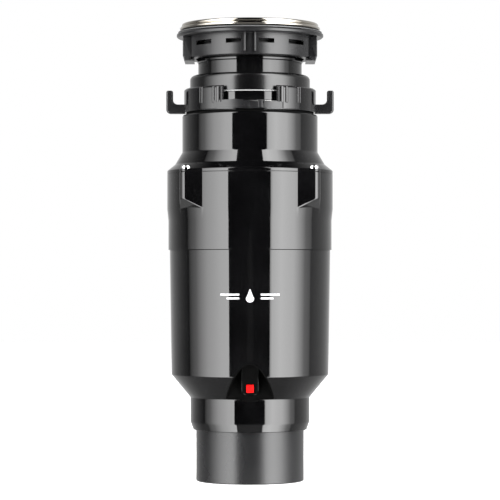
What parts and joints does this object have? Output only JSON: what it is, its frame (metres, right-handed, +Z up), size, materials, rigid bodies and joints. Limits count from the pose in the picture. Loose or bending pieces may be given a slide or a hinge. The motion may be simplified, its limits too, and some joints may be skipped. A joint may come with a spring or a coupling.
{
  "type": "kitchen garbage disposal",
  "caption": "Straight-through kitchen waste disposer that hangs from a sink flange by a hooked lock ring, with a grinding chamber, a sealed motor, a reset button and a bottom drain tube.",
  "frame": {"origin": "centre of the drain tube's lower end, which is the bottom of the whole object", "axes": "+Z up the vertical axis towards the sink, -Y towards the front with the reset button, X through the two hooks of the lock ring"},
  "size_m": [0.1362, 0.1348, 0.3712],
  "materials": {
    "gloss_black": "moulded gloss black",
    "satin_black": "moulded satin black",
    "deep_black": "moulded matt black",
    "stainless": "brushed stainless steel",
    "bright_steel": "polished zinc-plated steel",
    "black_steel": "phosphated spring steel",
    "can_steel": "deep-drawn galvanised steel",
    "core_steel": "stacked laminations",
    "cast_aluminium": "die-cast",
    "copper": "enamelled copper wire",
    "rubber_black": "moulded rubber",
    "foam_grey": "closed-cell foam",
    "nylon_white": "natural nylon",
    "nylon_grey": "grey nylon",
    "red_plastic": "moulded red",
    "board_green": "printed circuit laminate"
  },
  "bodies": {
    "housing": {"sink_flange": "stainless", "flange_tube": "stainless", "sink_gasket": "rubber_black", "mounting_neck": "satin_black", "neck_sleeve": "satin_black", "splash_guard": "rubber_black", "snap_ring": "black_steel", "slip_washer": "deep_black", "top_cover": "gloss_black", "hopper_liner": "stainless", "insulation_sleeve": "foam_grey", "chamber_gasket": "rubber_black", "chamber_shell": "gloss_black", "shell_screws": "bright_steel", "grind_ring": "stainless", "ring_damper": "rubber_black", "shaft_seal": "rubber_black", "bearing_plate": "cast_aluminium", "upper_bearing": "bright_steel", "lower_bearing": "bright_steel", "lower_bracket": "can_steel", "stator_core": "core_steel", "stator_windings": "copper", "motor_can": "can_steel", "motor_base": "satin_black", "base_gasket": "rubber_black", "connection_board": "board_green", "overload_protector": "satin_black", "reset_housing": "deep_black", "button_spring": "bright_steel", "lower_shell": "gloss_black", "shell_o_ring": "rubber_black", "drain_tube": "satin_black", "outlet_o_ring": "rubber_black", "cord_gland": "satin_black", "gland_nut": "satin_black"},
    "lock_ring": {"lock_ring": "satin_black"},
    "nut_washer": {"nut_washer": "nylon_grey"},
    "mounting_nut": {"mounting_nut": "satin_black"},
    "rotor": {"motor_shaft": "bright_steel", "rotor_core": "core_steel", "rotor_end_rings": "cast_aluminium", "turntable": "stainless", "turntable_nut": "bright_steel", "impeller_rivets": "bright_steel"},
    "impeller_a": {"impeller_a": "stainless"},
    "impeller_b": {"impeller_b": "stainless"},
    "reset_button": {"reset_button": "red_plastic"}
  },
  "joints": [
    {"name": "lock_ring_turn", "type": "hinge", "parent": "housing", "child": "lock_ring", "pos_m": [0, 0, 0.305], "axis": [0, 0, 1], "range_deg": [0, 35]},
    {"name": "nut_travel", "type": "slide", "parent": "housing", "child": "nut_washer", "axis": [0, 0, -1], "range_m": [0, 0.01001]},
    {"name": "nut_turn", "type": "hinge", "parent": "nut_washer", "child": "mounting_nut", "pos_m": [0, 0, 0.352], "axis": [0, 0, -1], "range_deg": [0, 720]},
    {"name": "rotor_spin", "type": "hinge", "parent": "housing", "child": "rotor", "pos_m": [0, 0, 0.214], "axis": [0, 0, 1], "continuous": true},
    {"name": "impeller_a_swivel", "type": "hinge", "parent": "rotor", "child": "impeller_a", "pos_m": [0.034, 0, 0.2174], "axis": [0, 0, 1], "continuous": true},
    {"name": "impeller_b_swivel", "type": "hinge", "parent": "rotor", "child": "impeller_b", "pos_m": [-0.034, 0, 0.2174], "axis": [0, 0, 1], "continuous": true},
    {"name": "reset_press", "type": "slide", "parent": "housing", "child": "reset_button", "axis": [0, 1, 0], "range_m": [0, 0.0015], "stiffness_N_per_m": 900, "deforming": ["button_spring"]}
  ],
  "couplings": [
    {"joint": "nut_travel", "follows": "nut_turn", "m_per_rad": 0.00079577}
  ]
}
